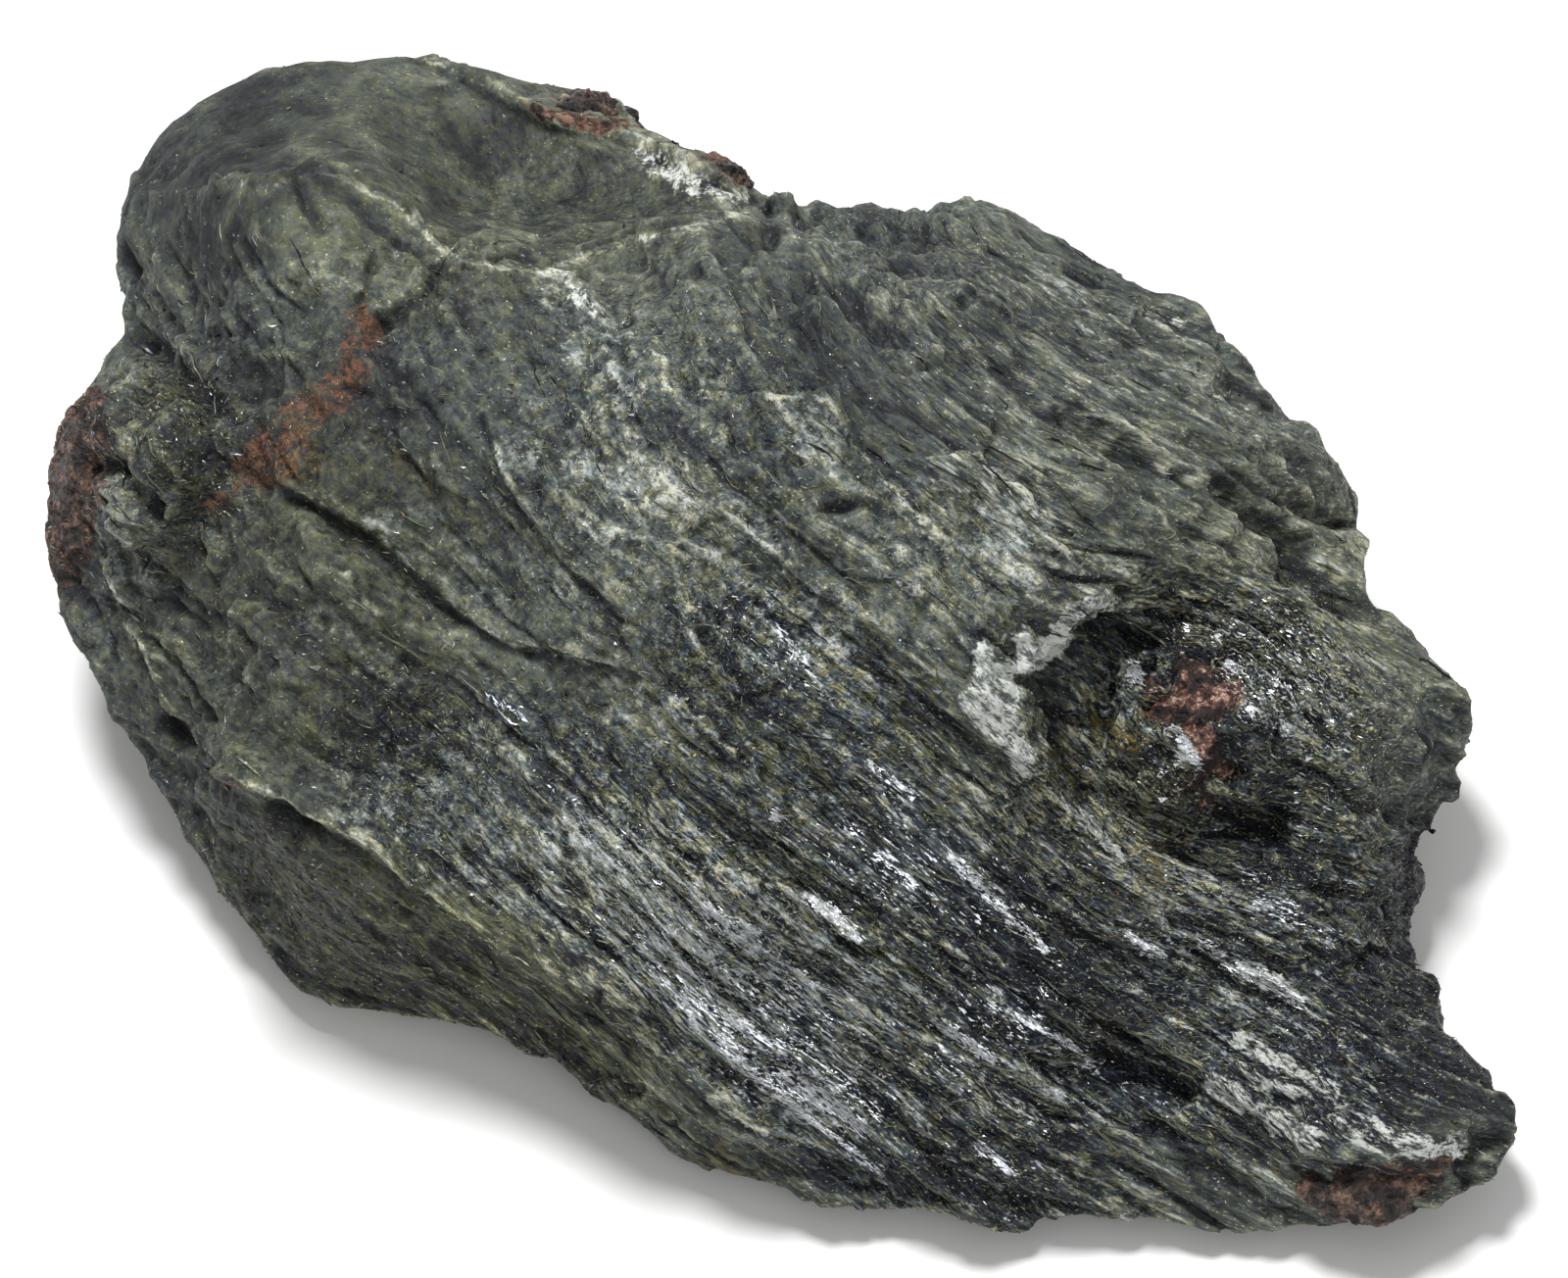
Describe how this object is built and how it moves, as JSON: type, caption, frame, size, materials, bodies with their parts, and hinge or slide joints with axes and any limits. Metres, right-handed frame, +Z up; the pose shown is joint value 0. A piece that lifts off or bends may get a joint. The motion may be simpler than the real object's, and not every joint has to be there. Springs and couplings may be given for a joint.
{
  "type": "garnet mica schist specimen",
  "caption": "Rough hand-sized lump of green mica schist with red-brown garnets set in it, lying on a flat parting face; a display mineral specimen.",
  "frame": {"origin": "middle of the bounding box, on the flat face that the stone rests on", "axes": "+Z up from the resting face, +X along the stone's longest extent towards its thin layered end, -Y towards the front"},
  "size_m": [0.0765, 0.0666, 0.0337],
  "materials": {
    "fuchsite_schist": "satin",
    "garnet": "rough"
  },
  "bodies": {
    "root": {"fuchsite_schist": "fuchsite_schist", "garnet_pocket": "garnet", "garnet_left_knob": "garnet", "garnet_top_crest": "garnet", "garnet_top_bump": "garnet", "garnet_lower_right": "garnet"}
  },
  "joints": []
}
